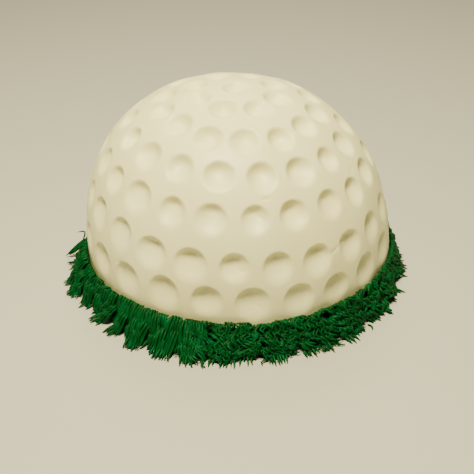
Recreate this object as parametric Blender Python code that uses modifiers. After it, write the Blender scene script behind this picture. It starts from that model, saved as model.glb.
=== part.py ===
# Ball cake: half a ball on a short upright foot, covered in ivory fondant that is pressed
# with rows of round dimples, and edged with a piped ring of green icing grass.
# The origin is on the table at the middle of the grass ring. The front is towards -Y.

import math
import random

import bmesh
import bpy
from mathutils import Matrix, Vector

# Fondant-covered cake, in metres
BALL_RADIUS = 0.0863
FOOT_HEIGHT = 0.0090
CAKE_HEIGHT = 0.1030
BOTTOM_TUCK = 0.0015
# A dome of fullness 2 is half an ellipse, and more makes its shoulders fuller
DOME_FULLNESS = 2.2
# The cake leans to -X by this much for each metre of height
LEAN = -0.0492
CAKE_PLACE = Vector((0.0020, 0.0041, 0.0))
CAKE_SIDES = 40
DOME_RINGS = 9

# Dimples pressed into the fondant
DIMPLE_WIDTH = 0.0163
DIMPLE_DEPTH = 0.0030
DIMPLE_SIDES = 10
DIMPLE_RINGS = 6
# Rows from the top down: elevation in degrees from the ball's middle, number of dimples,
# azimuth of one of them in degrees, and tilt of the row towards ROW_TILT_AZIMUTH
DIMPLE_ROWS = (
    (90.0, 1, 0.0, 4.0),
    (76.4, 8, -63.0, 4.0),
    (65.4, 14, -61.0, 5.5),
    (52.8, 18, -79.0, 4.4),
    (40.1, 22, -84.0, 4.0),
    (26.0, 24, -92.0, 4.2),
    (12.5, 24, -85.6, 2.2),
)
ROW_TILT_AZIMUTH = -55.0
# The dimples are pressed by hand, so each is a little off its place and depth
PLACE_SCATTER = 0.7
DEPTH_SCATTER = 0.0003

# Grass ring round the foot of the cake
CAKE_GAP = 0.0003
CORE_REACH = 0.0945
CORE_TOP = 0.0125
CORE_FOOT = 0.0030
CORE_SIDES = 108
CORE_STEPS = (0.0, 0.35, 0.65, 0.87, 1.0)
SLOPE_STEP = 0.02
CORE_LUMP = 0.0009
CORE_ROUGHNESS = 0.0011
LUMP_WAVES = (5, 9, 14, 23)
STRAND_WIDTH = 0.0017
STRAND_SWAY = 0.0030
STRAND_SPACING = (0.2, 0.8)
PLACE_SPREAD = (-0.12, 0.08)
LENGTH_SPREAD = (0.6, 1.3)
RISE_SPREAD = (0.7, 1.25)
# A bent strand's bend, as shares of its rise, length and sway
BEND_RISE = 0.55
BEND_LENGTH = 0.35
BEND_SWAY = 0.3
ROOT_DEPTH = 0.0020
TIP_SHARE = 0.2
TIP_REACH_LIMIT = 0.1005
FLOOR_CLEARANCE = 0.0008
# Tiers of strands from the table up: count, place across the core from the cake (0) to
# the outer foot (1), length along the slope, rise away from the core, and whether bent
STRAND_TIERS = (
    (90, 0.97, 0.0030, 0.0042, False),
    (60, 0.78, 0.0048, 0.0036, True),
    (50, 0.40, 0.0040, 0.0040, True),
)

IVORY = (0.80, 0.76, 0.62, 1.0)
FONDANT_ROUGHNESS = 0.45
FONDANT_SHARP_ANGLE = 30.0
EMERALD = (0.004, 0.13, 0.035, 1.0)
ICING_ROUGHNESS = 0.5
ICING_SHARP_ANGLE = 40.0

MERGE_DISTANCE = 0.00001
FUSED_MERGE_DISTANCE = 0.000001

scatter = random.Random(7)
lump_phases = [scatter.uniform(0.0, 2.0 * math.pi) for wave in LUMP_WAVES]


def clear_scene():
    for item in list(bpy.data.objects):
        bpy.data.objects.remove(item, do_unlink=True)


def new_collection(name):
    collection = bpy.data.collections.new(name)
    bpy.context.scene.collection.children.link(collection)
    return collection


def new_material(name, colour, roughness):
    material = bpy.data.materials.new(name)
    material.use_nodes = True
    shader = material.node_tree.nodes["Principled BSDF"]
    shader.inputs["Base Color"].default_value = colour
    shader.inputs["Roughness"].default_value = roughness
    shader.inputs["Metallic"].default_value = 0.0
    return material


def evaluated_mesh(piece):
    graph = bpy.context.evaluated_depsgraph_get()
    return bpy.data.meshes.new_from_object(piece.evaluated_get(graph))


def keep_modifiers(piece):
    """Puts the result of the piece's modifiers in its own mesh."""
    mesh = evaluated_mesh(piece)
    piece.modifiers.clear()
    piece.data = mesh


def turned(name, profile, closed, sides, collection):
    """A profile of (radius, height) points at +X, turned once round the Z axis."""
    count = len(profile)
    edges = [(i, i + 1) for i in range(count - 1)]
    if closed:
        edges.append((count - 1, 0))
    mesh = bpy.data.meshes.new(name)
    mesh.from_pydata([(radius, 0.0, height) for radius, height in profile], edges, [])
    piece = bpy.data.objects.new(name, mesh)
    collection.objects.link(piece)
    screw = piece.modifiers.new("Turn", "SCREW")
    screw.steps = sides
    screw.render_steps = sides
    screw.use_merge_vertices = True
    screw.merge_threshold = MERGE_DISTANCE
    keep_modifiers(piece)
    return piece


def joined_faces(first):
    """Tags and returns the faces that can be reached from the first one over edges."""
    first.tag = True
    body = [first]
    for face in body:
        for edge in face.edges:
            for other in edge.link_faces:
                if not other.tag:
                    other.tag = True
                    body.append(other)
    return body


def tidy_mesh(mesh, merge_distance):
    """Merges doubled points, keeps the largest body and makes it outward triangles."""
    work = bmesh.new()
    work.from_mesh(mesh)
    bmesh.ops.remove_doubles(work, verts=work.verts, dist=merge_distance)
    bodies = []
    for face in work.faces:
        face.tag = False
    for face in work.faces:
        if not face.tag:
            bodies.append(joined_faces(face))
    largest = max(bodies, key=len)
    scraps = [face for body in bodies if body is not largest for face in body]
    bmesh.ops.delete(work, geom=scraps, context="FACES")
    bmesh.ops.triangulate(work, faces=work.faces)
    bmesh.ops.recalc_face_normals(work, faces=work.faces)
    work.to_mesh(mesh)
    work.free()


def smooth(piece, sharp_angle):
    piece.data.shade_smooth()
    piece.data.set_sharp_from_angle(angle=math.radians(sharp_angle))


def combine(piece, operation, collection, solver="EXACT"):
    """Joins the collection's objects to the piece, or cuts them from it."""
    boolean = piece.modifiers.new("Combine", "BOOLEAN")
    boolean.operation = operation
    boolean.operand_type = "COLLECTION"
    boolean.collection = collection
    boolean.solver = solver


def dome_profile():
    """Outer side of the cake from the top of the dome down to the table."""
    rise = CAKE_HEIGHT - FOOT_HEIGHT
    points = []
    for ring in range(DOME_RINGS + 1):
        elevation = math.radians(90.0 * (1.0 - ring / DOME_RINGS))
        reach = dome_reach(elevation)
        height = reach * math.sin(elevation)
        points.append((reach * math.cos(elevation), FOOT_HEIGHT + min(height, rise)))
    points[0] = (0.0, CAKE_HEIGHT)
    points.append((BALL_RADIUS, BOTTOM_TUCK))
    points.append((BALL_RADIUS - BOTTOM_TUCK, 0.0))
    points.append((0.0, 0.0))
    return points


def dome_reach(elevation):
    """Distance from the ball's middle to the dome's surface at an elevation."""
    across = (abs(math.cos(elevation)) / BALL_RADIUS) ** DOME_FULLNESS
    up = (math.sin(elevation) / (CAKE_HEIGHT - FOOT_HEIGHT)) ** DOME_FULLNESS
    return (across + up) ** (-1.0 / DOME_FULLNESS)


def dome_point(direction):
    """Point and normal of the leaning dome where a direction from its middle leaves it."""
    elevation = math.asin(direction.z)
    offset = direction * dome_reach(elevation)
    level = offset.xy.length
    power = DOME_FULLNESS - 1.0
    steepness = (level / BALL_RADIUS) ** power / BALL_RADIUS
    rise = CAKE_HEIGHT - FOOT_HEIGHT
    normal_z = (offset.z / rise) ** power / rise
    around = offset.xy.normalized()
    normal_x = steepness * around.x
    normal_y = steepness * around.y
    height = FOOT_HEIGHT + offset.z
    point = CAKE_PLACE + Vector((offset.x + LEAN * height, offset.y, height))
    normal = Vector((normal_x, normal_y, normal_z - LEAN * normal_x)).normalized()
    return point, normal


def row_tilt(degrees):
    """Turn that carries the top of a dimple row towards ROW_TILT_AZIMUTH."""
    toward = math.radians(ROW_TILT_AZIMUTH)
    hinge = Vector((-math.sin(toward), math.cos(toward), 0.0))
    return Matrix.Rotation(math.radians(degrees), 3, hinge)


def dimple_directions():
    """Directions of the dimples' middles from the middle of the ball."""
    for elevation, count, first_azimuth, tilt in DIMPLE_ROWS:
        for index in range(count):
            azimuth = first_azimuth + 360.0 * index / count
            azimuth += scatter.uniform(-PLACE_SCATTER, PLACE_SCATTER)
            height = elevation + scatter.uniform(-PLACE_SCATTER, PLACE_SCATTER)
            level = math.cos(math.radians(height))
            east = level * math.cos(math.radians(azimuth))
            north = level * math.sin(math.radians(azimuth))
            yield row_tilt(tilt) @ Vector((east, north, math.sin(math.radians(height))))


def press_dimples(cake, cutters):
    """Cuts a round-bottomed dimple at each direction, as pressed with a ball tool."""
    sag = DIMPLE_WIDTH ** 2 / (8.0 * BALL_RADIUS)
    for number, direction in enumerate(dimple_directions()):
        depth = DIMPLE_DEPTH + scatter.uniform(-DEPTH_SCATTER, DEPTH_SCATTER)
        bowl = depth - sag
        radius = (DIMPLE_WIDTH ** 2 / 4.0 + bowl ** 2) / (2.0 * bowl)
        point, normal = dome_point(direction)
        mesh = bpy.data.meshes.new("dimple_tool")
        ball = bmesh.new()
        bmesh.ops.create_uvsphere(
            ball, u_segments=DIMPLE_SIDES, v_segments=DIMPLE_RINGS, radius=radius)
        ball.to_mesh(mesh)
        ball.free()
        tool = bpy.data.objects.new("dimple_tool_%03d" % number, mesh)
        tool.location = point + normal * (radius - depth)
        tool.rotation_euler = normal.to_track_quat("Z", "Y").to_euler()
        tool.hide_render = True
        tool.display_type = "WIRE"
        cutters.objects.link(tool)
    combine(cake, "DIFFERENCE", cutters)


def build_cake(parts, cutters):
    cake = turned("cake", dome_profile(), False, CAKE_SIDES, parts)
    shear = Matrix.Identity(4)
    shear[0][2] = LEAN
    cake.data.transform(Matrix.Translation(CAKE_PLACE) @ shear)
    press_dimples(cake, cutters)
    cake.data.materials.append(new_material("ivory_fondant", IVORY, FONDANT_ROUGHNESS))
    smooth(cake, FONDANT_SHARP_ANGLE)


def heading(azimuth):
    return Vector((math.cos(azimuth), math.sin(azimuth)))


def sideways(azimuth):
    return Vector((-math.sin(azimuth), math.cos(azimuth), 0.0))


def wall_reach(azimuth, height):
    """Distance from the origin to the cake's upright foot."""
    middle = Vector((CAKE_PLACE.x + LEAN * height, CAKE_PLACE.y))
    along = middle.dot(heading(azimuth))
    aside = middle.length_squared - along ** 2
    return along + math.sqrt(BALL_RADIUS ** 2 - aside)


def lump(azimuth):
    """Uneven swelling of the icing round the ring, between about -1 and 1."""
    waves = zip(LUMP_WAVES, lump_phases)
    return sum(math.sin(wave * azimuth + phase) for wave, phase in waves) / 2.0


def core_point(azimuth, across, share=1.0):
    """Point of the grass core, a share of the way up to its sloping top."""
    swelling = CORE_LUMP * lump(azimuth)
    slope = math.sqrt(max(0.0, 1.0 - across ** 2))
    height = CORE_FOOT + (CORE_TOP + swelling - CORE_FOOT) * slope
    height *= share
    inside = wall_reach(azimuth, height) + CAKE_GAP
    outside = CORE_REACH + CORE_LUMP * lump(azimuth + 1.0)
    level = inside + (outside - inside) * across
    return Vector((level * math.cos(azimuth), level * math.sin(azimuth), height))


def core_slope(azimuth, across):
    """Directions straight out of the core's sloping top and down along it."""
    low = core_point(azimuth, min(1.0, across + SLOPE_STEP))
    high = core_point(azimuth, max(0.0, across - SLOPE_STEP))
    down = (low - high).normalized()
    return down.cross(sideways(azimuth)).normalized(), down


def keep_clear(point):
    """Moves a strand's point off the cake, off the table and within the ring's reach."""
    azimuth = math.atan2(point.y, point.x)
    height = max(point.z, FLOOR_CLEARANCE)
    nearest = wall_reach(azimuth, height) + CAKE_GAP + STRAND_WIDTH
    level = min(max(point.xy.length, nearest), TIP_REACH_LIMIT)
    return Vector((level * math.cos(azimuth), level * math.sin(azimuth), height))


def add_strand(number, points, collection):
    """A four-sided strand of icing that thins to a point."""
    curve = bpy.data.curves.new("strand", "CURVE")
    curve.dimensions = "3D"
    curve.bevel_depth = STRAND_WIDTH / 2.0
    curve.bevel_resolution = 0
    curve.use_fill_caps = True
    spline = curve.splines.new("POLY")
    spline.points.add(len(points) - 1)
    for index, point in enumerate(points):
        spline.points[index].co = (*point, 1.0)
    spline.points[-1].radius = TIP_SHARE
    guide = bpy.data.objects.new("strand_guide", curve)
    collection.objects.link(guide)
    mesh = evaluated_mesh(guide)
    bpy.data.objects.remove(guide, do_unlink=True)
    tidy_mesh(mesh, MERGE_DISTANCE)
    collection.objects.link(bpy.data.objects.new("strand_%03d" % number, mesh))


def strand_points(azimuth, across, length, rise, bent):
    """Root inside the core, a bend just over its surface and a tip that stands off it."""
    base = core_point(azimuth, across)
    out, down = core_slope(azimuth, across)
    sway = sideways(azimuth) * scatter.uniform(-STRAND_SWAY, STRAND_SWAY)
    length *= scatter.uniform(*LENGTH_SPREAD)
    rise *= scatter.uniform(*RISE_SPREAD)
    root = keep_clear(base - out * ROOT_DEPTH)
    tip = keep_clear(base + out * rise + down * length + sway)
    if not bent:
        return root, tip
    bend = base + out * rise * BEND_RISE + down * length * BEND_LENGTH + sway * BEND_SWAY
    return root, keep_clear(bend), tip


def build_grass(parts, strands):
    profile = [(1.0 + across, 1.0) for across in CORE_STEPS]
    profile += [(2.0, 0.0), (1.0, 0.0)]
    grass = turned("grass", profile, True, CORE_SIDES, parts)
    for vertex in grass.data.vertices:
        azimuth = math.atan2(vertex.co.y, vertex.co.x)
        across = min(1.0, max(0.0, vertex.co.xy.length - 1.0))
        place = core_point(azimuth, across, vertex.co.z)
        if vertex.co.z > 0.0:
            place.z += scatter.uniform(-CORE_ROUGHNESS, CORE_ROUGHNESS)
        vertex.co = place
    tidy_mesh(grass.data, MERGE_DISTANCE)
    number = 0
    for count, across, length, rise, bent in STRAND_TIERS:
        for index in range(count):
            azimuth = 2.0 * math.pi * (index + scatter.uniform(*STRAND_SPACING)) / count
            place = min(1.0, across + scatter.uniform(*PLACE_SPREAD))
            points = strand_points(azimuth, place, length, rise, bent)
            add_strand(number, points, strands)
            number += 1
    # The strands cross each other in ways that the exact solver leaves open
    combine(grass, "UNION", strands, "MANIFOLD")
    keep_modifiers(grass)
    for item in list(strands.objects):
        bpy.data.objects.remove(item, do_unlink=True)
    bpy.data.collections.remove(strands)
    tidy_mesh(grass.data, FUSED_MERGE_DISTANCE)
    grass.data.materials.clear()
    grass.data.materials.append(new_material("green_icing", EMERALD, ICING_ROUGHNESS))
    smooth(grass, ICING_SHARP_ANGLE)


def main():
    clear_scene()
    parts = new_collection("ball_cake")
    cutters = new_collection("dimple_tools")
    strands = new_collection("grass_strands")
    build_grass(parts, strands)
    build_cake(parts, cutters)


main()
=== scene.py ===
import math
import random

import bpy
import numpy as np
from mathutils import Matrix, Vector


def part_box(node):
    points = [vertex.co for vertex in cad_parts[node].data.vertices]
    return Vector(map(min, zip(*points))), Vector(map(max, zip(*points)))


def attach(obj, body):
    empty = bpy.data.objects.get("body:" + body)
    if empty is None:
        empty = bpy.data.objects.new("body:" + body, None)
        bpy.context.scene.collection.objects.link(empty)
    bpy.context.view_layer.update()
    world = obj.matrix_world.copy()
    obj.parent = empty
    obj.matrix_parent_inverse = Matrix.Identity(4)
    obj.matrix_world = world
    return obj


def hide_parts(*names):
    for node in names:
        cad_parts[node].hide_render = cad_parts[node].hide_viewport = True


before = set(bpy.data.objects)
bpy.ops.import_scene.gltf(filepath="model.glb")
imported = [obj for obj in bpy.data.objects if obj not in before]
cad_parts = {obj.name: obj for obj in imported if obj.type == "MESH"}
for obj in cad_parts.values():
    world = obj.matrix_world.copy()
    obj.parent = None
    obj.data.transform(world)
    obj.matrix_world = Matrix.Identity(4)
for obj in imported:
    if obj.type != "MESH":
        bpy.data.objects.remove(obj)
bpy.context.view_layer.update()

cake_low, cake_high = (Vector(corner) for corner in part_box("cake"))

# Fondant-covered ball, in metres and degrees, sized from the cake node's box
BALL_RADIUS = (cake_high.y - cake_low.y) / 2.0
CAKE_HEIGHT = cake_high.z
FOOT_HEIGHT = 0.0090
BOTTOM_TUCK = 0.0015
DOME_FULLNESS = 2.2
LEAN = -0.0492
CAKE_X = 0.0020
CAKE_Y = (cake_high.y + cake_low.y) / 2.0
DOME_RISE = CAKE_HEIGHT - FOOT_HEIGHT
SKIN_FINENESS = 8
FOOT_RINGS = 6
UNEVEN = 0.00030
SWELLS = 9
SWELL_LENGTHS = (0.025, 0.070)
SHARP_ANGLE = 60.0

# Dimples: rows from the top down with elevation, number, azimuth of one and tilt, in degrees
DIMPLE_ROWS = (
    (90.0, 1, 0.0, 4.0),
    (76.4, 8, -63.0, 4.0),
    (65.4, 14, -61.0, 5.5),
    (52.8, 18, -79.0, 4.4),
    (40.1, 22, -84.0, 4.0),
    (26.0, 24, -92.0, 4.2),
    (12.5, 24, -85.6, 2.2),
)
ROW_TILT_AZIMUTH = -55.0
PLACE_SPREAD = 0.5
DIMPLE_RADIUS = 0.0080
DIMPLE_DEPTH = 0.0039
DIMPLE_AREA = 1.6
RADIUS_SPREAD = (0.93, 1.06)
DEPTH_SPREAD = (0.85, 1.12)
WIDTH_SPREAD = (0.95, 1.06)
HEIGHT_SPREAD = (0.97, 1.06)
DEEPEST_SPREAD = 0.07
TWIST_SPREAD = 0.35
SIDE_POWER = 6
DEEPEST_UP = 0.24
DEEPEST_UP_ON_SIDE = 0.50
SHALLOWER_ON_SIDE = 0.25
UPPER_RIM = 0.00028
LOWER_RIM = 0.0012
LIP_RISE = 0.00009
LIP_PLACE = 1.12
LIP_WIDTH = 0.08
SMALLER_ON_TOP = 0.12
NICK_AREA = 3.0

# Nicks left by the tool: azimuth, elevation and slant in degrees, then half length, half width and depth
NICKS = (
    (-50.6, 24.6, 55.0, 0.0022, 0.0009, 0.0014),
    (-55.0, 22.4, 20.0, 0.0030, 0.0007, 0.0004),
    (-77.0, 42.4, 0.0, 0.0020, 0.0006, 0.0005),
    (-80.0, 37.4, -50.0, 0.0022, 0.0006, 0.0004),
    (-87.9, 21.4, 5.0, 0.0018, 0.0006, 0.0004),
    (-89.2, 51.0, 5.0, 0.0018, 0.0007, 0.0003),
    (-133.0, 16.1, 10.0, 0.0030, 0.0007, 0.0005),
    (-31.0, 41.5, 30.0, 0.0016, 0.0007, 0.0004),
    (-83.6, 8.7, -40.0, 0.0020, 0.0006, 0.0003),
    (60.0, 33.0, 25.0, 0.0022, 0.0007, 0.0005),
    (128.0, 20.0, -15.0, 0.0026, 0.0007, 0.0005),
)

# Piped grass ring
RING_BASE = 0.0014
RING_INSET = 0.0032
SLOPE_POWER = 1.15
CORE_SINK = 0.0006
CORE_SHARE = 0.88
CORE_GAP = 0.0003
CORE_MIDDLE = 1.5
CORE_THICKNESS = 0.5
CORE_ROUNDING = 2.0
TIP_LIMIT = 0.1003
TIP_RUN = 0.0125
TIP_DROP = 1.6
TABLE_CLEARANCE = 1.02
WALL_GAP = 0.0001
STRAND_RADIUS = 0.00062
STRAND_SIDES = 6
STRAND_POINTS = 9
SPOKE_GUIDE = (0.31, 0.52, 0.80)
START_THICKNESS = 0.75
TAPER_FROM = 0.6
TAPER_POWER = 1.3
THICKNESS_SPREAD = (0.85, 1.15)
TUFTS = 58
TUFT_SHIFT = 0.3
TUFT_WIDTH = 0.0080
EXTRA_REACH = 0.0018
SWEEP = 0.0024

# Where the kinds of strands end, by azimuth in degrees, and how they mix behind
LONG_UNTIL = -104.0
CURLY_UNTIL = -52.0
SHORT_UNTIL = 35.0
MIX_STEP = 24
MIXED_WIDTH = 2.5

# One lock: lengths in metres, shares and spreads
LOCK_SHIFT = 0.28
LOCK_POINTS = 8
LOCK_THICKNESS = 0.0024
LOCK_END_SPREAD = (-0.10, 0.12)
CREST_SPREAD = (0.6, 1.4)
CREST_ROW = 3
GOLDEN_TURN = 2.4
GATHER = 0.45
GATHER_LIMIT = 1.2
OUTWARD_FROM = 0.7
OUTWARD_RUN = 0.5
ARCH_SPREAD = (0.6, 1.2)
ARCH_MIDDLE = 1.15
ARCH_FALL = 0.5
BEAT_SPREAD = (0.7, 1.3)
BOB_SHARE = 0.6
ASIDE_SPREAD = 0.0003
BEGIN_SPREAD = (-0.05, 0.08)
RAGGED_SPREAD = (-1.0, 0.5)
OUTER_SHORTER = 0.3
SETTLING = 0.75
NARROW_START = 0.9
TOP_LUMP = (-0.0004, 0.0018)
LUMP_FADE = 3.0

# Pointed tips at the foot
TEETH_IN_TUFT = (3, 5)
TOOTH_FAN = 0.35
TOOTH_SHIFT = (0.3, 0.7)
TOOTH_START = 0.0052
SHORTEST_TOOTH = -0.0006
TOOTH_RUN = 0.0042
OUTER_TOOTH_SHORTER = 0.0030
TOOTH_RISE = (0.0016, 0.0034)
TOOTH_PLACES = (0.0, 0.35, 0.7, 1.0)
TOOTH_NARROW = 0.85
TOOTH_SWEEP = 0.7
TOOTH_DROP_POWER = 1.4
TOOTH_REST = 0.4
TOOTH_THINNING = 0.6
TOOTH_TIP = 0.15

# Rounded curls at the ring's top
SCALLOPS = 60
SCALLOP_PLACE = (0.1, 0.9)
SCALLOP_CREST = 0.8
SCALLOP_LIFT = (0.0006, 0.0018)
SCALLOP_SIZE = (0.0009, 0.0015)
SCALLOP_LEAN = 0.0016
SCALLOP_STRANDS = (2, 5)
SCALLOP_THICKNESS = (0.9, 1.15)
SCALLOP_ROUNDING = 0.0009
SCALLOP_SPACE = 0.0002
SCALLOP_POINTS = 6
SCALLOP_FIRST_TURN = -60.0
SCALLOP_TURN = 50.0
SCALLOP_FLATTEN = 0.9
SCALLOP_DROP = 0.0004
SCALLOP_TIP = 0.5

# By azimuth in degrees: the ring's reach and top in metres, how uneven its edge is
# and how far its tufts sweep sideways
REACH = (
    (-180.0, 0.0892), (-176.0, 0.0922), (-171.0, 0.0952), (-160.0, 0.0980), (-142.0, 0.0932),
    (-124.0, 0.0972), (-106.0, 0.0970), (-90.0, 0.0960), (-70.0, 0.0948), (-55.0, 0.0962),
    (-45.0, 0.0950), (-34.0, 0.0972), (-23.0, 0.0944), (-15.0, 0.0962), (-8.0, 0.0942),
    (60.0, 0.0945), (120.0, 0.0940), (160.0, 0.0930), (168.0, 0.0900), (180.0, 0.0892),
)
RING_TOP = (
    (-180.0, 0.0112), (-165.0, 0.0128), (-140.0, 0.0122), (-122.0, 0.0136), (-80.0, 0.0132),
    (-45.0, 0.0136), (-28.0, 0.0150), (-14.0, 0.0130), (60.0, 0.0130), (150.0, 0.0125),
    (170.0, 0.0095), (180.0, 0.0095),
)
CREST = (
    (-180.0, 0.35), (-158.0, 0.4), (-146.0, 1.1), (-52.0, 1.2), (-36.0, 0.5), (30.0, 0.4), (60.0, 1.0),
    (150.0, 1.0), (180.0, 0.35),
)
SWEEP_BIAS = ((-180.0, 0.0), (-60.0, 0.0), (-30.0, 0.0022), (20.0, 0.0015), (40.0, 0.0), (180.0, 0.0))

# Kinds of strands: locks round the ring, strands in a lock and how they lie; rows run from the foot up
STYLES = {
    "long": {
        "locks": 74, "strands": 11, "width": 0.0056,
        "wave": 0.0002, "waves": 1.0, "arch": 0.0017, "stand": 0.0,
        "drift": 0.0022, "own": 0.35, "fan": 0.30, "ragged": 0.22, "thick": 0.95, "tip": 0.22,
        "rows": ((0.66, 1.14), (0.36, 1.20), (0.05, 0.95), (-0.05, 0.66)),
    },
    "curly": {
        "locks": 118, "strands": 6, "width": 0.0046,
        "wave": 0.0012, "waves": 1.8, "arch": 0.0016, "stand": 0.0006,
        "drift": 0.0046, "own": 0.8, "fan": 0.30, "ragged": 0.28, "thick": 0.95, "tip": 0.35,
        "rows": ((0.74, 1.12), (0.50, 1.08), (0.26, 0.82), (-0.05, 0.52)),
    },
    "short": {
        "locks": 88, "strands": 6, "width": 0.0054,
        "wave": 0.0005, "waves": 1.2, "arch": 0.0010, "stand": 0.0014,
        "drift": 0.0038, "own": 0.7, "fan": 0.25, "ragged": 0.24, "thick": 1.15, "tip": 0.45,
        "rows": ((0.78, 1.10), (0.56, 0.98), (0.32, 0.74), (-0.04, 0.44)),
    },
}

# Strands that came away: thickness share, then azimuth, distance and height of points along each
STRAYS = (
    (0.7, (
        (-178.0, 0.0880, 0.0130), (-178.6, 0.0868, 0.0166),
        (-178.8, 0.0876, 0.0177), (-178.9, 0.0915, 0.0171),
    )),
    (1.3, (
        (178.0, 0.0885, 0.0095), (179.4, 0.0925, 0.0070),
        (-179.2, 0.0965, 0.0040), (-178.6, 0.1000, 0.0012),
    )),
    (1.5, (
        (179.0, 0.0880, 0.0100), (-179.8, 0.0910, 0.0075),
        (-179.0, 0.0945, 0.0045), (-178.6, 0.0980, 0.0022),
    )),
    (1.1, (
        (-179.0, 0.0885, 0.0085), (-178.8, 0.0920, 0.0060),
        (-178.6, 0.0950, 0.0036), (-178.4, 0.0975, 0.0022),
    )),
    (0.9, (
        (-172.5, 0.0925, 0.0040), (-173.5, 0.0955, 0.0025),
        (-174.8, 0.0978, 0.0010), (-175.0, 0.0984, 0.0008),
    )),
    (0.7, (
        (-45.6, 0.0945, 0.0008), (-45.3, 0.0962, 0.0009),
        (-45.6, 0.0976, 0.0007), (-46.6, 0.0988, 0.0007),
    )),
    (0.6, (
        (-6.6, 0.0925, 0.0020), (-6.2, 0.0945, 0.0008),
        (-6.0, 0.0960, 0.0007), (-5.6, 0.0975, 0.0007),
    )),
)

# The skin and the grass draw from streams of their own, so a change to one leaves the other as it is
rng = random.Random(21)
piping = random.Random(5)


def degrees_to_vector(azimuth, elevation=0.0):
    level = math.cos(math.radians(elevation))
    return Vector((
        level * math.cos(math.radians(azimuth)),
        level * math.sin(math.radians(azimuth)),
        math.sin(math.radians(elevation)),
    ))


# Camera and light

FOCAL_PIXELS = 709.5
FRAME_PIXELS = 474.0
SENSOR = 36.0
CAMERA_PLACE = Vector((0.0, -0.3481, 0.2310))
CAMERA_PAN = 0.063
CAMERA_TILT = 32.227
CAMERA_ROLL = -0.584
CAMERA_NEAR = 0.01
WORLD_COLOUR = (0.75, 1.0, 1.0, 1.0)
WORLD_STRENGTH = 0.045
FLOOR_SIZE = 6.0


def add_camera():
    pan, tilt, roll = (math.radians(turn) for turn in (CAMERA_PAN, CAMERA_TILT, CAMERA_ROLL))
    forward = Vector((math.sin(pan) * math.cos(tilt), math.cos(pan) * math.cos(tilt), -math.sin(tilt)))
    level = Vector((math.cos(pan), -math.sin(pan), 0.0))
    upright = level.cross(forward)
    right = level * math.cos(roll) + upright * math.sin(roll)
    top = upright * math.cos(roll) - level * math.sin(roll)
    lens = bpy.data.cameras.new("camera")
    lens.sensor_width = SENSOR
    lens.lens = FOCAL_PIXELS * SENSOR / FRAME_PIXELS
    lens.clip_start = CAMERA_NEAR
    camera = bpy.data.objects.new("camera", lens)
    bpy.context.scene.collection.objects.link(camera)
    turn = Matrix((right, top, -forward)).transposed()
    camera.matrix_world = Matrix.Translation(CAMERA_PLACE) @ turn.to_4x4()
    bpy.context.scene.camera = camera


def add_light(name, place, target, size, power, colour):
    lamp = bpy.data.lights.new(name, "AREA")
    lamp.shape = "DISK"
    lamp.size = size
    lamp.energy = power
    lamp.color = colour
    light = bpy.data.objects.new(name, lamp)
    bpy.context.scene.collection.objects.link(light)
    aim = Vector(target) - Vector(place)
    light.location = place
    light.rotation_euler = aim.to_track_quat("-Z", "Y").to_euler()


def add_studio():
    world = bpy.data.worlds.new("studio")
    world.use_nodes = True
    background = world.node_tree.nodes["Background"]
    background.inputs["Color"].default_value = WORLD_COLOUR
    background.inputs["Strength"].default_value = WORLD_STRENGTH
    bpy.context.scene.world = world
    add_light("overhead", place=(-0.09, -0.25, 0.90), target=(0, 0, 0.03),
              size=0.30, power=22.5, colour=(1.0, 0.93, 0.60))
    add_light("front_fill", place=(-0.10, -1.15, 0.40), target=(0, 0, 0.03),
              size=0.9, power=0.4, colour=(0.88, 1.0, 0.92))
    add_light("back_fill", place=(0.0, 1.10, 1.30), target=(0, 0.6, 0.0),
              size=0.8, power=12.0, colour=(1.0, 0.95, 0.72))


def add_floor():
    bpy.ops.object.select_all(action="DESELECT")
    bpy.ops.mesh.primitive_plane_add(size=FLOOR_SIZE, location=(0.0, 0.0, 0.0))
    floor = bpy.context.object
    floor.name = "floor"
    material = new_material("pale_floor", colour=(0.46, 0.440, 0.365), roughness=0.6)[0]
    floor.data.materials.append(material)


# Materials

def new_material(name, colour, roughness):
    material = bpy.data.materials.new(name)
    material.use_nodes = True
    nodes = material.node_tree.nodes
    shader = nodes["Principled BSDF"]
    shader.inputs["Base Color"].default_value = (*colour, 1.0)
    shader.inputs["Roughness"].default_value = roughness
    return material, shader, nodes, material.node_tree.links


def noise_node(nodes, links, coordinates, scale, detail):
    node = nodes.new("ShaderNodeTexNoise")
    node.inputs["Scale"].default_value = scale
    node.inputs["Detail"].default_value = detail
    links.new(coordinates, node.inputs["Vector"])
    return node


def ramp_node(nodes, links, value, stops):
    node = nodes.new("ShaderNodeValToRGB")
    ramp = node.color_ramp
    ramp.elements[0].position = stops[0][0]
    ramp.elements[0].color = (*stops[0][1], 1.0)
    ramp.elements[1].position = stops[-1][0]
    ramp.elements[1].color = (*stops[-1][1], 1.0)
    for place, colour in stops[1:-1]:
        ramp.elements.new(place).color = (*colour, 1.0)
    links.new(value, node.inputs["Fac"])
    return node


def bump_node(nodes, links, height, strength, distance):
    node = nodes.new("ShaderNodeBump")
    node.inputs["Strength"].default_value = strength
    node.inputs["Distance"].default_value = distance
    links.new(height, node.inputs["Height"])
    return node


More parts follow.
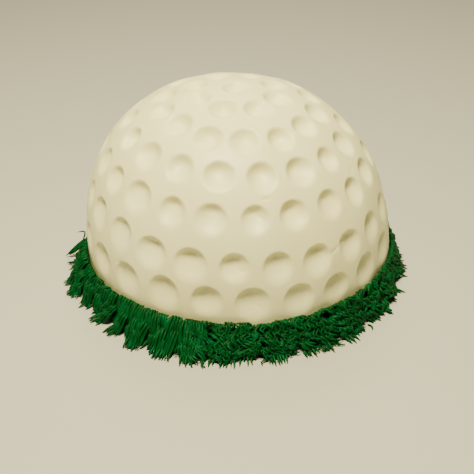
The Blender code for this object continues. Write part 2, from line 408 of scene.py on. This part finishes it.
def fondant_material():
    material, shader, nodes, links = new_material(
        "rolled_fondant", colour=(0.87, 0.80, 0.45), roughness=0.47)
    place = nodes.new("ShaderNodeTexCoord").outputs["Object"]
    cloud = noise_node(nodes, links, place, scale=28.0, detail=3.0)
    tint = ramp_node(nodes, links, cloud.outputs["Fac"], (
        (0.30, (0.860, 0.783, 0.405)),
        (0.55, (0.870, 0.802, 0.430)),
        (0.75, (0.880, 0.818, 0.455)),
    ))
    links.new(tint.outputs["Color"], shader.inputs["Base Color"])
    grain = noise_node(nodes, links, place, scale=900.0, detail=4.0)
    soft = noise_node(nodes, links, place, scale=160.0, detail=2.0)
    fine = bump_node(nodes, links, grain.outputs["Fac"], strength=0.10, distance=0.0004)
    broad = bump_node(nodes, links, soft.outputs["Fac"], strength=0.12, distance=0.0012)
    links.new(broad.outputs["Normal"], fine.inputs["Normal"])
    links.new(fine.outputs["Normal"], shader.inputs["Normal"])
    shader.inputs["Subsurface Weight"].default_value = 0.12
    shader.inputs["Subsurface Radius"].default_value = (1.0, 0.75, 0.45)
    shader.inputs["Subsurface Scale"].default_value = 0.0012
    shader.inputs["Specular IOR Level"].default_value = 0.45
    return material


def icing_material():
    material, shader, nodes, links = new_material(
        "green_buttercream", colour=(0.0, 0.052, 0.010), roughness=0.5)
    place = nodes.new("ShaderNodeTexCoord").outputs["Object"]
    cloud = noise_node(nodes, links, place, scale=220.0, detail=2.0)
    tint = ramp_node(nodes, links, cloud.outputs["Fac"], (
        (0.30, (0.000, 0.035, 0.0045)),
        (0.55, (0.000, 0.053, 0.0105)),
        (0.75, (0.000, 0.079, 0.0205)),
    ))
    links.new(tint.outputs["Color"], shader.inputs["Base Color"])
    grain = noise_node(nodes, links, place, scale=1800.0, detail=3.0)
    rough = bump_node(nodes, links, grain.outputs["Fac"], strength=0.25, distance=0.0003)
    links.new(rough.outputs["Normal"], shader.inputs["Normal"])
    shader.inputs["Specular IOR Level"].default_value = 0.10
    return material


# Fondant skin

def dome_reach(level, upward):
    across = (np.abs(level) / BALL_RADIUS) ** DOME_FULLNESS
    up = (np.abs(upward) / DOME_RISE) ** DOME_FULLNESS
    return (across + up) ** (-1.0 / DOME_FULLNESS)


def dome_surface(directions):
    """Points and outward normals of the smooth dome for unit directions from its middle."""
    level = np.hypot(directions[:, 0], directions[:, 1])
    reach = dome_reach(level, directions[:, 2])
    offset = directions * reach[:, None]
    power = DOME_FULLNESS - 1.0
    flat = np.maximum(level, 1e-9)
    steep = (level * reach / BALL_RADIUS) ** power / BALL_RADIUS
    normals = np.empty_like(offset)
    normals[:, 0] = steep * directions[:, 0] / flat
    normals[:, 1] = steep * directions[:, 1] / flat
    normals[:, 2] = (np.abs(offset[:, 2]) / DOME_RISE) ** power / DOME_RISE
    normals[:, 2] -= LEAN * normals[:, 0]
    normals /= np.linalg.norm(normals, axis=1)[:, None]
    points = offset + np.array((CAKE_X, CAKE_Y, FOOT_HEIGHT))
    points[:, 0] += LEAN * points[:, 2]
    return points, normals


def dimple_directions():
    toward = math.radians(ROW_TILT_AZIMUTH)
    hinge = Vector((-math.sin(toward), math.cos(toward), 0.0))
    for elevation, count, first, tilt in DIMPLE_ROWS:
        turn = Matrix.Rotation(math.radians(tilt), 3, hinge)
        for index in range(count):
            azimuth = first + 360.0 * index / count + rng.uniform(-PLACE_SPREAD, PLACE_SPREAD)
            height = min(90.0, elevation + rng.uniform(-PLACE_SPREAD, PLACE_SPREAD))
            yield turn @ degrees_to_vector(azimuth, height)


def tangent_frame(normal):
    """Level and upward unit vectors along the surface at a normal."""
    side = np.cross((0.0, 0.0, 1.0), normal)
    side /= max(np.linalg.norm(side), 1e-6)
    return side, np.cross(normal, side)


def press_dimple(points, moved, direction):
    """Pushes in one dimple, deepest near its steep upper edge, with a floor that rises softly below."""
    centre, normal = dome_surface(np.array([direction]))
    centre, normal = centre[0], normal[0]
    side, up = tangent_frame(normal)
    on_side = math.hypot(normal[0], normal[1]) ** SIDE_POWER
    radius = DIMPLE_RADIUS * (1.0 - SMALLER_ON_TOP * (1.0 - on_side)) * rng.uniform(*RADIUS_SPREAD)
    depth = DIMPLE_DEPTH * (1.0 - SHALLOWER_ON_SIDE * on_side) * rng.uniform(*DEPTH_SPREAD)
    deepest = DEEPEST_UP + DEEPEST_UP_ON_SIDE * on_side + rng.uniform(-DEEPEST_SPREAD, DEEPEST_SPREAD)
    twist = rng.uniform(-TWIST_SPREAD, TWIST_SPREAD)
    near = np.flatnonzero(np.linalg.norm(points - centre, axis=1) < radius * DIMPLE_AREA)
    away = (points[near] - centre) / radius
    level = away @ side * rng.uniform(*WIDTH_SPREAD)
    upward = away @ up * rng.uniform(*HEIGHT_SPREAD)
    right = level * math.cos(twist) + upward * math.sin(twist)
    rise = upward * math.cos(twist) - level * math.sin(twist)
    above = rise - deepest
    spare = 1.0 - deepest ** 2
    nested = (deepest * above + np.sqrt((deepest * above) ** 2 + spare * (right ** 2 + above ** 2))) / spare
    gap = depth * (nested ** 2 - 1.0)
    upper = 0.5 + 0.5 * np.clip(rise, -1.0, 1.0)
    softness = LOWER_RIM + (UPPER_RIM - LOWER_RIM) * upper
    blend = np.maximum(softness - np.abs(gap), 0.0) / softness
    lip = LIP_RISE * np.exp(-((nested - LIP_PLACE) / LIP_WIDTH) ** 2)
    moved[near] += np.minimum(gap, 0.0) - blend ** 2 * softness / 4.0 + lip * upper


def press_nick(points, moved, nick):
    azimuth, elevation, slant, half_length, half_width, depth = nick
    centre, normal = dome_surface(np.array([degrees_to_vector(azimuth, elevation)]))
    side, up = tangent_frame(normal[0])
    near = np.flatnonzero(np.linalg.norm(points - centre[0], axis=1) < half_length * NICK_AREA)
    away = points[near] - centre[0]
    turn = math.radians(slant)
    along = away @ (side * math.cos(turn) + up * math.sin(turn)) / half_length
    across = away @ (up * math.cos(turn) - side * math.sin(turn)) / half_width
    moved[near] -= depth * np.exp(-along ** 2 - across ** 2)


def unevenness(points):
    """Gentle swells of a hand-laid covering, mostly between -1.5 and 1.5."""
    total = np.zeros(len(points))
    for swell in range(SWELLS):
        way = np.array([rng.uniform(-1.0, 1.0) for axis in range(3)])
        way /= np.linalg.norm(way)
        pitch = 2.0 * math.pi / rng.uniform(*SWELL_LENGTHS)
        total += np.sin(points @ way * pitch + rng.uniform(0.0, 2.0 * math.pi))
    return total / math.sqrt(SWELLS)


def shape_skin(mesh):
    count = len(mesh.vertices)
    place = np.empty(count * 3)
    mesh.vertices.foreach_get("co", place)
    place = place.reshape(-1, 3)
    below = np.clip(-place[:, 2], 0.0, 1.0)
    directions = place.copy()
    directions[:, 2] = np.maximum(directions[:, 2], 0.0)
    directions /= np.linalg.norm(directions, axis=1)[:, None]
    points, normals = dome_surface(directions)
    moved = UNEVEN * unevenness(points)
    for direction in dimple_directions():
        press_dimple(points, moved, direction)
    for nick in NICKS:
        press_nick(points, moved, nick)
    points += normals * moved[:, None]
    foot = below > 0.0
    points[foot, 2] -= below[foot] * FOOT_HEIGHT
    height = np.maximum(points[:, 2], 0.0)
    tuck = np.clip(1.0 - height / BOTTOM_TUCK, 0.0, 1.0) ** 2 * BOTTOM_TUCK
    points[:, :2] -= directions[:, :2] * tuck[:, None]
    points[foot, 2] = np.maximum(points[foot, 2], 0.0)
    mesh.vertices.foreach_set("co", points.ravel())
    mesh.update()


def add_fondant(material):
    bpy.ops.object.select_all(action="DESELECT")
    bpy.ops.mesh.primitive_ico_sphere_add(subdivisions=SKIN_FINENESS, radius=1.0)
    skin = bpy.context.object
    skin.name = "fondant_cover"
    bpy.ops.object.mode_set(mode="EDIT")
    bpy.ops.mesh.select_all(action="SELECT")
    bpy.ops.mesh.bisect(plane_co=(0, 0, 0), plane_no=(0, 0, 1), clear_inner=True)
    bpy.ops.mesh.select_all(action="DESELECT")
    bpy.ops.mesh.select_non_manifold()
    for ring in range(FOOT_RINGS):
        drop = {"value": (0.0, 0.0, -1.0 / FOOT_RINGS)}
        bpy.ops.mesh.extrude_region_move(TRANSFORM_OT_translate=drop)
    bpy.ops.mesh.edge_face_add()
    bpy.ops.mesh.select_all(action="SELECT")
    bpy.ops.mesh.normals_make_consistent(inside=False)
    bpy.ops.object.mode_set(mode="OBJECT")
    shape_skin(skin.data)
    bpy.ops.object.shade_smooth_by_angle(angle=math.radians(SHARP_ANGLE))
    skin.data.materials.append(material)
    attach(skin, "root")
    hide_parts("cake")


# Grass ring

def wall_reach(azimuth, height):
    """Distance from the origin to the cake's wall at an azimuth and height."""
    middle_x = CAKE_X + LEAN * height
    along = middle_x * math.cos(azimuth) + CAKE_Y * math.sin(azimuth)
    aside = middle_x ** 2 + CAKE_Y ** 2 - along ** 2
    return along + math.sqrt(BALL_RADIUS ** 2 - aside)


def turn_between(first, second):
    """Degrees from one azimuth to another, the short way round."""
    return (second - first + 180.0) % 360.0 - 180.0


def by_azimuth(table, azimuth):
    """Value of a table of azimuths and values at an azimuth in radians."""
    return float(np.interp(turn_between(0.0, math.degrees(azimuth)), *zip(*table)))


def mound(azimuth, share, lift):
    """Point over the ring's slope: share 0 is against the cake, 1 at the foot, more is out on the table."""
    top = by_azimuth(RING_TOP, azimuth)
    inside = wall_reach(azimuth, top)
    width = by_azimuth(REACH, azimuth) - RING_INSET - inside
    tall = top - RING_BASE
    size = math.hypot(width, tall)
    on_slope = min(share, 1.0)
    beyond = max(0.0, share - 1.0)
    level = inside + width * on_slope + lift * tall / size + beyond * TIP_RUN
    height = RING_BASE + tall * (1.0 - on_slope ** SLOPE_POWER) + lift * width / size
    return level, height * max(0.0, 1.0 - TIP_DROP * beyond)


def place_point(azimuth, level, height, radius):
    """Keeps a strand's point off the table and the cake, and within the ring's reach."""
    height = max(height, radius * TABLE_CLEARANCE)
    nearest = wall_reach(azimuth, height) + radius + WALL_GAP
    level = min(max(level, nearest), TIP_LIMIT)
    return level * math.cos(azimuth), level * math.sin(azimuth), height


def smooth_path(points, count):
    """Points on a smooth curve through a few given ones, about evenly spaced."""
    points = np.array(points)
    steps = np.concatenate(([0.0], np.cumsum(np.linalg.norm(np.diff(points, axis=0), axis=1))))
    places = np.linspace(0.0, steps[-1], count)
    padded = np.vstack((2 * points[0] - points[1], points, 2 * points[-1] - points[-2]))
    result = []
    for place in places:
        index = min(max(int(np.searchsorted(steps, place)) - 1, 0), len(points) - 2)
        share = (place - steps[index]) / max(steps[index + 1] - steps[index], 1e-9)
        a, b, c, d = padded[index:index + 4]
        result.append(0.5 * (2 * b + (c - a) * share + (2 * a - 5 * b + 4 * c - d) * share ** 2
                             + (3 * b - a - 3 * c + d) * share ** 3))
    return result


def make_tufts():
    """Bundles the strands gather into at the ring's foot: azimuth, extra reach and sideways sweep."""
    tufts = []
    for index in range(TUFTS):
        azimuth = 360.0 * (index + piping.uniform(-TUFT_SHIFT, TUFT_SHIFT)) / TUFTS
        bias = by_azimuth(SWEEP_BIAS, math.radians(azimuth))
        extra = piping.uniform(-EXTRA_REACH, EXTRA_REACH)
        tufts.append((azimuth, extra, bias + piping.uniform(-SWEEP, SWEEP)))
    return tufts


def lock_strands(azimuth_degrees, first, last, style, crest, tufts):
    """The strands of one squeeze of the piping bag, laid over the ring's slope from first to last."""
    azimuth = math.radians(azimuth_degrees)
    tuft, extra, sweep = min(tufts, key=lambda entry: abs(turn_between(entry[0], azimuth_degrees)))
    reach = by_azimuth(REACH, azimuth)
    gather = GATHER * math.radians(turn_between(azimuth_degrees, tuft)) * reach
    outward = min(max((last - OUTWARD_FROM) / OUTWARD_RUN, 0.0), 1.0)
    last += outward * extra / TIP_RUN
    lean = piping.uniform(-1.0, 1.0) * style["drift"]
    arch = style["arch"] * crest * piping.uniform(*ARCH_SPREAD)
    phase = piping.uniform(0.0, 2.0 * math.pi)
    beat = style["waves"] * piping.uniform(*BEAT_SPREAD)
    lump = piping.uniform(*TOP_LUMP) * min(crest, 1.0)
    strands = []
    for index in range(style["strands"]):
        turn = GOLDEN_TURN * index
        spread = math.sqrt((index + 0.5) / style["strands"])
        side = spread * math.cos(turn)
        aside = 0.5 * style["width"] * side + piping.uniform(-ASIDE_SPREAD, ASIDE_SPREAD)
        above = 0.5 * LOCK_THICKNESS * (1.0 + spread * math.sin(turn))
        radius = STRAND_RADIUS * style["thick"] * piping.uniform(*THICKNESS_SPREAD)
        begin = first + piping.uniform(*BEGIN_SPREAD)
        end = last + style["ragged"] * (piping.uniform(*RAGGED_SPREAD) - OUTER_SHORTER * abs(side))
        own_phase = phase + style["own"] * piping.uniform(-1.0, 1.0)
        own_lean = lean + style["own"] * style["drift"] * piping.uniform(-1.0, 1.0)
        own_arch = arch * (ARCH_MIDDLE - ARCH_FALL * side ** 2)
        controls = []
        for step in range(LOCK_POINTS):
            place = step / (LOCK_POINTS - 1)
            share = max(begin + (end - begin) * place, 0.0)
            swing = style["wave"] * math.sin(2.0 * math.pi * beat * place + own_phase)
            bob = BOB_SHARE * style["wave"] * math.cos(2.0 * math.pi * beat * place + own_phase)
            hover = own_arch * math.sin(math.pi * math.sqrt(place)) + above * (1.0 - SETTLING * place)
            level, height = mound(azimuth, share, hover + bob + style["stand"] * place)
            height += lump * max(0.0, 1.0 - LUMP_FADE * share)
            moved = aside * (NARROW_START + style["fan"] * place) + own_lean * place + swing
            moved += (gather + sweep) * min(share, GATHER_LIMIT) ** 2
            controls.append(place_point(azimuth + moved / level, level, height, radius))
        strands.append((smooth_path(controls, STRAND_POINTS), radius))
    return strands


def teeth_strands(tuft, extra, sweep):
    """Pointed tips side by side where a tuft lies out on the table."""
    azimuth = math.radians(tuft)
    body = by_azimuth(REACH, azimuth) + extra
    count = piping.randint(*TEETH_IN_TUFT)
    fan = piping.uniform(0.0, TOOTH_FAN)
    strands = []
    for index in range(count):
        across = (index + piping.uniform(*TOOTH_SHIFT)) / count - 0.5
        radius = STRAND_RADIUS * piping.uniform(*THICKNESS_SPREAD)
        tip = body + piping.uniform(SHORTEST_TOOTH, TOOTH_RUN) - OUTER_TOOTH_SHORTER * abs(across)
        start = body - TOOTH_START
        rise = piping.uniform(*TOOTH_RISE)
        controls = []
        for place in TOOTH_PLACES:
            level = start + (tip - start) * place
            moved = across * TUFT_WIDTH * (TOOTH_NARROW + fan * place)
            moved += sweep * (TOOTH_SWEEP + TOOTH_SWEEP * place)
            height = rise * (1.0 - place ** TOOTH_DROP_POWER) + radius * TOOTH_REST
            thin = radius * (1.0 - TOOTH_THINNING * place)
            controls.append(place_point(azimuth + moved / level, level, height, thin))
        strands.append((smooth_path(controls, STRAND_POINTS), radius))
    return strands


def scallop_strands(azimuth_degrees):
    """A rounded curl of a few strands at the top of the ring, where the piping tip was set on the cake."""
    azimuth = math.radians(azimuth_degrees)
    top = by_azimuth(RING_TOP, azimuth) + piping.uniform(*SCALLOP_LIFT)
    size = piping.uniform(*SCALLOP_SIZE)
    lean = piping.uniform(-SCALLOP_LEAN, SCALLOP_LEAN)
    count = piping.randint(*SCALLOP_STRANDS)
    strands = []
    for index in range(count):
        radius = STRAND_RADIUS * piping.uniform(*SCALLOP_THICKNESS)
        aside = (index - 0.5 * (count - 1)) * 2.0 * STRAND_RADIUS
        own_size = size * piping.uniform(*THICKNESS_SPREAD)
        own_top = top - SCALLOP_ROUNDING * (2.0 * index / (count - 1) - 1.0) ** 2
        start = wall_reach(azimuth, top) + radius + SCALLOP_SPACE
        controls = []
        for step in range(SCALLOP_POINTS):
            turn = math.radians(SCALLOP_FIRST_TURN + SCALLOP_TURN * step)
            level = start + own_size * (1.0 - math.cos(turn)) * SCALLOP_FLATTEN
            height = own_top - SCALLOP_DROP + own_size * math.sin(turn)
            moved = aside + lean * step / (SCALLOP_POINTS - 1)
            controls.append(place_point(azimuth + moved / level, level, height, radius))
        strands.append((smooth_path(controls, STRAND_POINTS), radius))
    return strands


def stray_strands():
    """Single strands that came away: a hair against the cake, long tips and curls on the table."""
    for thick, stray in STRAYS:
        radius = STRAND_RADIUS * thick
        controls = [place_point(math.radians(turn), level, height, radius) for turn, level, height in stray]
        yield smooth_path(controls, STRAND_POINTS), radius


def strand_mesh(name, paths, radii, tip):
    """All the strands of one kind as one mesh, each a closed tube that thins to its tip."""
    paths = np.array(paths)
    total, count = paths.shape[:2]
    radii = np.array(radii)
    forward = np.gradient(paths, axis=1)
    forward /= np.linalg.norm(forward, axis=2)[:, :, None]
    normal = np.cross(forward[:, 0], SPOKE_GUIDE)
    normal /= np.linalg.norm(normal, axis=1)[:, None]
    share = np.linspace(0.0, 1.0, count)
    thinning = np.maximum(share - TAPER_FROM, 0.0) / (1.0 - TAPER_FROM)
    taper = 1.0 - (1.0 - tip) * thinning ** TAPER_POWER
    taper[0] = START_THICKNESS
    rings = np.empty((total, count, STRAND_SIDES, 3))
    for step in range(count):
        along = forward[:, step]
        normal = normal - along * np.sum(normal * along, axis=1)[:, None]
        normal /= np.linalg.norm(normal, axis=1)[:, None]
        binormal = np.cross(along, normal)
        for side in range(STRAND_SIDES):
            turn = 2.0 * math.pi * side / STRAND_SIDES
            spoke = normal * math.cos(turn) + binormal * math.sin(turn)
            rings[:, step, side] = paths[:, step] + spoke * (radii * taper[step])[:, None]
    faces = []
    for strand in range(total):
        first = strand * count * STRAND_SIDES
        for step in range(count - 1):
            here = first + step * STRAND_SIDES
            for side in range(STRAND_SIDES):
                after = (side + 1) % STRAND_SIDES
                faces.append((here + side, here + after,
                              here + STRAND_SIDES + after, here + STRAND_SIDES + side))
        last = first + (count - 1) * STRAND_SIDES
        faces.append(tuple(first + side for side in reversed(range(STRAND_SIDES))))
        faces.append(tuple(last + side for side in range(STRAND_SIDES)))
    mesh = bpy.data.meshes.new(name)
    mesh.from_pydata(rings.reshape(-1, 3).tolist(), [], faces)
    mesh.shade_smooth()
    return mesh


def add_strands(name, strands, tip, material):
    mesh = strand_mesh(name, [path for path, radius in strands], [radius for path, radius in strands], tip)
    piece = bpy.data.objects.new(name, mesh)
    bpy.context.scene.collection.objects.link(piece)
    mesh.materials.append(material)
    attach(piece, "root")
    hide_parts("grass")


def style_at(azimuth_degrees):
    """Long straight locks on the left, curls in front, short pieces on the right and a mix behind."""
    turn = turn_between(0.0, azimuth_degrees)
    if -180.0 < turn < LONG_UNTIL:
        return "long"
    if LONG_UNTIL <= turn < CURLY_UNTIL:
        return "curly"
    if CURLY_UNTIL <= turn < SHORT_UNTIL:
        return "short"
    kinds = tuple(STYLES)
    return kinds[int(turn // MIX_STEP) % len(kinds)]


def add_grass(material):
    tufts = make_tufts()
    for name, style in STYLES.items():
        strands = []
        for row, (first, last) in enumerate(style["rows"]):
            for index in range(style["locks"]):
                shift = 0.5 * (row % 2) + piping.uniform(-LOCK_SHIFT, LOCK_SHIFT)
                azimuth = 360.0 * (index + shift) / style["locks"]
                if name not in (style_at(azimuth - MIXED_WIDTH), style_at(azimuth + MIXED_WIDTH)):
                    continue
                crest = 1.0
                if row == CREST_ROW:
                    crest = by_azimuth(CREST, math.radians(azimuth)) * piping.uniform(*CREST_SPREAD)
                end = last + piping.uniform(*LOCK_END_SPREAD)
                strands += lock_strands(azimuth, first, end, style, crest, tufts)
        add_strands("grass_" + name + "_strands", strands, style["tip"], material)
    teeth = list(stray_strands())
    for tuft in tufts:
        teeth += teeth_strands(*tuft)
    add_strands("grass_teeth", teeth, TOOTH_TIP, material)
    scallops = []
    for index in range(SCALLOPS):
        azimuth = 360.0 * (index + piping.uniform(*SCALLOP_PLACE)) / SCALLOPS
        if by_azimuth(CREST, math.radians(azimuth)) > SCALLOP_CREST:
            scallops += scallop_strands(azimuth)
    add_strands("grass_scallops", scallops, SCALLOP_TIP, material)


def add_grass_core(material):
    """Solid icing under the strands, a low ring fitted round the cake's foot."""
    bpy.ops.object.select_all(action="DESELECT")
    bpy.ops.mesh.primitive_torus_add(major_segments=180, minor_segments=20,
                                     major_radius=CORE_MIDDLE, minor_radius=CORE_THICKNESS)
    core = bpy.context.object
    core.name = "grass_core"
    for vertex in core.data.vertices:
        azimuth = math.atan2(vertex.co.y, vertex.co.x)
        out = vertex.co.xy.length - CORE_MIDDLE
        turn = math.atan2(vertex.co.z, out)
        across = 0.5 + 0.5 * math.cos(turn)
        share = max(0.0, math.sin(turn))
        level, height = mound(azimuth, across * CORE_SHARE, -CORE_SINK)
        level = max(level, wall_reach(azimuth, height) + CORE_GAP)
        low = height * min(1.0, share * CORE_ROUNDING)
        vertex.co = (level * math.cos(azimuth), level * math.sin(azimuth), low)
    core.data.shade_smooth()
    core.data.materials.append(material)
    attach(core, "root")
    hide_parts("grass")


add_camera()
add_studio()
add_floor()
add_fondant(fondant_material())
green = icing_material()
add_grass_core(green)
add_grass(green)
